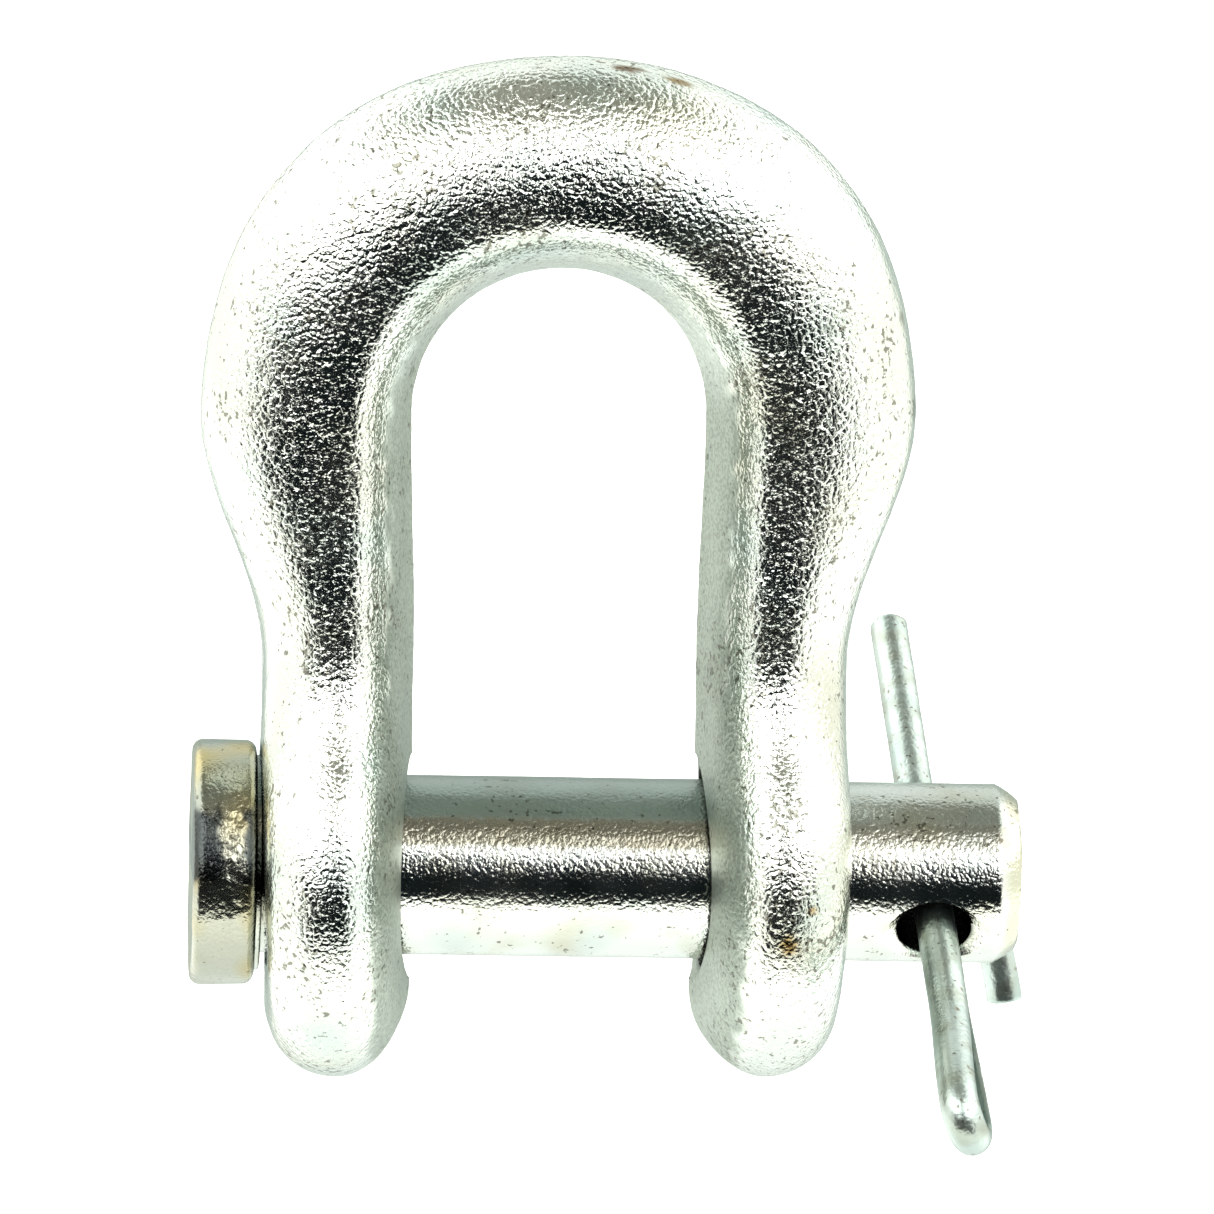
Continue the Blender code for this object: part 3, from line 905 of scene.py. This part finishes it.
# The light ramps from straight ahead to behind; each fades in between two headings off a centre.
LIGHT_COLUMNS = [
    (NARROW_LIGHT, -1.5, (6.3, 7.8)),
    (SOFTBOX_LIGHT, -1.5, (9.5, 13.0)),
    (SIDE_LIGHT, -8.0, (38.0, 66.0)),
    (BACK_LIGHT, -8.0, (138.0, 160.0)),
]


def elevation_ramp(tree, elevation, stops):
    """A colour by elevation, from (degrees, colour) stops."""
    made = node(tree, "ShaderNodeValToRGB", {"Fac": elevation})
    ramp = made.color_ramp
    while len(ramp.elements) > 1:
        ramp.elements.remove(ramp.elements[-1])
    for index, (degrees, colour) in enumerate(stops):
        position = degrees / 180.0 + 0.5
        stop = ramp.elements[0] if index == 0 else ramp.elements.new(position)
        stop.position = position
        stop.color = (*colour, 1.0)
    return made.outputs["Color"]


def make_studio():
    """A soft studio as world light: soft boxes up in front, white sides and a grey back."""
    world = bpy.data.worlds.new("studio")
    bpy.context.scene.world = world
    world.use_nodes = True
    tree = world.node_tree
    tree.nodes.clear()
    way = node(tree, "ShaderNodeTexCoord").outputs["Generated"]
    part = node(tree, "ShaderNodeSeparateXYZ", {0: way})
    lift = maths(tree, "ARCSINE", part.outputs["Z"])
    elevation = maths(tree, "MULTIPLY_ADD", lift, 1.0 / math.pi, 0.5)
    ahead = maths(tree, "MULTIPLY", part.outputs["Y"], -1.0)
    heading = maths(tree, "ARCTAN2", part.outputs["X"], ahead)
    light = elevation_ramp(tree, elevation, CENTRE_LIGHT)
    for stops, centre, (low, high) in LIGHT_COLUMNS:
        swing = maths(tree, "ABSOLUTE", maths(tree, "SUBTRACT", heading, math.radians(centre)))
        share = spread(tree, swing, math.radians(low), math.radians(high), 0.0, 1.0,
                       interpolation_type="SMOOTHSTEP")
        light = colour_mix(tree, share, light, elevation_ramp(tree, elevation, stops))
    glow = node(tree, "ShaderNodeBackground", {"Color": light, "Strength": 1.0})
    node(tree, "ShaderNodeOutputWorld", {"Surface": glow.outputs[0]})


FLOOR_HALF_SIZE = 3.0
FLOOR_WHITE = 0.93
FLOOR_GLOW = 0.55


def make_floor():
    """A pale light table, lit a little from below, so it reads white."""
    bm = bmesh.new()
    bmesh.ops.create_grid(bm, x_segments=1, y_segments=1, size=FLOOR_HALF_SIZE)
    floor = new_object("light_table", bm, Matrix.Identity(4))
    material = bpy.data.materials.new("light_table")
    material.use_nodes = True
    shader = material.node_tree.nodes["Principled BSDF"]
    shader.inputs["Base Color"].default_value = (FLOOR_WHITE, FLOOR_WHITE, FLOOR_WHITE, 1.0)
    shader.inputs["Roughness"].default_value = 0.6
    shader.inputs["Emission Color"].default_value = (1.0, 1.0, 1.0, 1.0)
    shader.inputs["Emission Strength"].default_value = FLOOR_GLOW
    floor.data.materials.append(material)
    floor.visible_glossy = False
    floor.visible_shadow = False
    floor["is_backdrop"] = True
    return floor


# --- camera ---

CAMERA_AZIMUTH = math.radians(-3.5)
CAMERA_ELEVATION = math.radians(14.0)
CAMERA_ROLL = math.radians(1.08)
CAMERA_TARGET = JAW_CENTRE + Vector((3.62, 0.0, 18.85)) * MM
FRAME_WIDTH = 85.3 * MM  # what the frame spans at the target
CAMERA_DISTANCE = 751.0 * MM
SENSOR_WIDTH = 36.0


def make_camera():
    """A camera at the photograph's viewing angle, turned a little about its own line of sight."""
    data = bpy.data.cameras.new("camera")
    camera = bpy.data.objects.new("camera", data)
    bpy.context.scene.collection.objects.link(camera)
    right = Vector((math.cos(CAMERA_AZIMUTH), math.sin(CAMERA_AZIMUTH), 0.0))
    level = Vector((right.y, -right.x, 0.0))
    back = level * math.cos(CAMERA_ELEVATION) + Vector((0.0, 0.0, math.sin(CAMERA_ELEVATION)))
    up = back.cross(right)
    rolled_right = right * math.cos(CAMERA_ROLL) + up * math.sin(CAMERA_ROLL)
    rolled_up = up * math.cos(CAMERA_ROLL) - right * math.sin(CAMERA_ROLL)
    turn = Matrix((rolled_right, rolled_up, back)).transposed().to_4x4()
    camera.matrix_world = Matrix.Translation(CAMERA_TARGET + back * CAMERA_DISTANCE) @ turn
    data.sensor_width = SENSOR_WIDTH
    data.lens = SENSOR_WIDTH * CAMERA_DISTANCE / FRAME_WIDTH
    data.clip_start = 0.01
    bpy.context.scene.camera = camera
    bpy.context.scene.view_settings.view_transform = "Standard"
    bpy.context.scene.view_settings.look = "None"


forged = zinc("forged_zinc", tint=(0.68, 0.71, 0.66), stain=(0.58, 0.59, 0.51), grain=0.36 * MM,
              grain_depth=0.060 * MM, side_grain=0.3, roughness=0.10, pit_from=0.885)
turned = zinc("turned_zinc", tint=(0.69, 0.71, 0.67), stain=(0.56, 0.54, 0.43), grain=0.30 * MM,
              grain_depth=0.022 * MM, side_grain=1.0, roughness=0.10, pit_from=0.93)
drawn = zinc("wire_zinc", tint=(0.46, 0.53, 0.50), stain=(0.35, 0.42, 0.39), grain=0.36 * MM,
             grain_depth=0.02 * MM, side_grain=1.0, roughness=0.26, pit_from=0.92)

dress(make_bow(), forged, "bow", "shackle_bow")
dress(make_pin(), turned, "pin", "round_pin")
dress(make_split_pin(), drawn, "split_pin", "split_pin")
make_floor()
make_studio()
make_camera()

corners = [[list(corner) for corner in bounds] for bounds in (cad_bounds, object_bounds())]
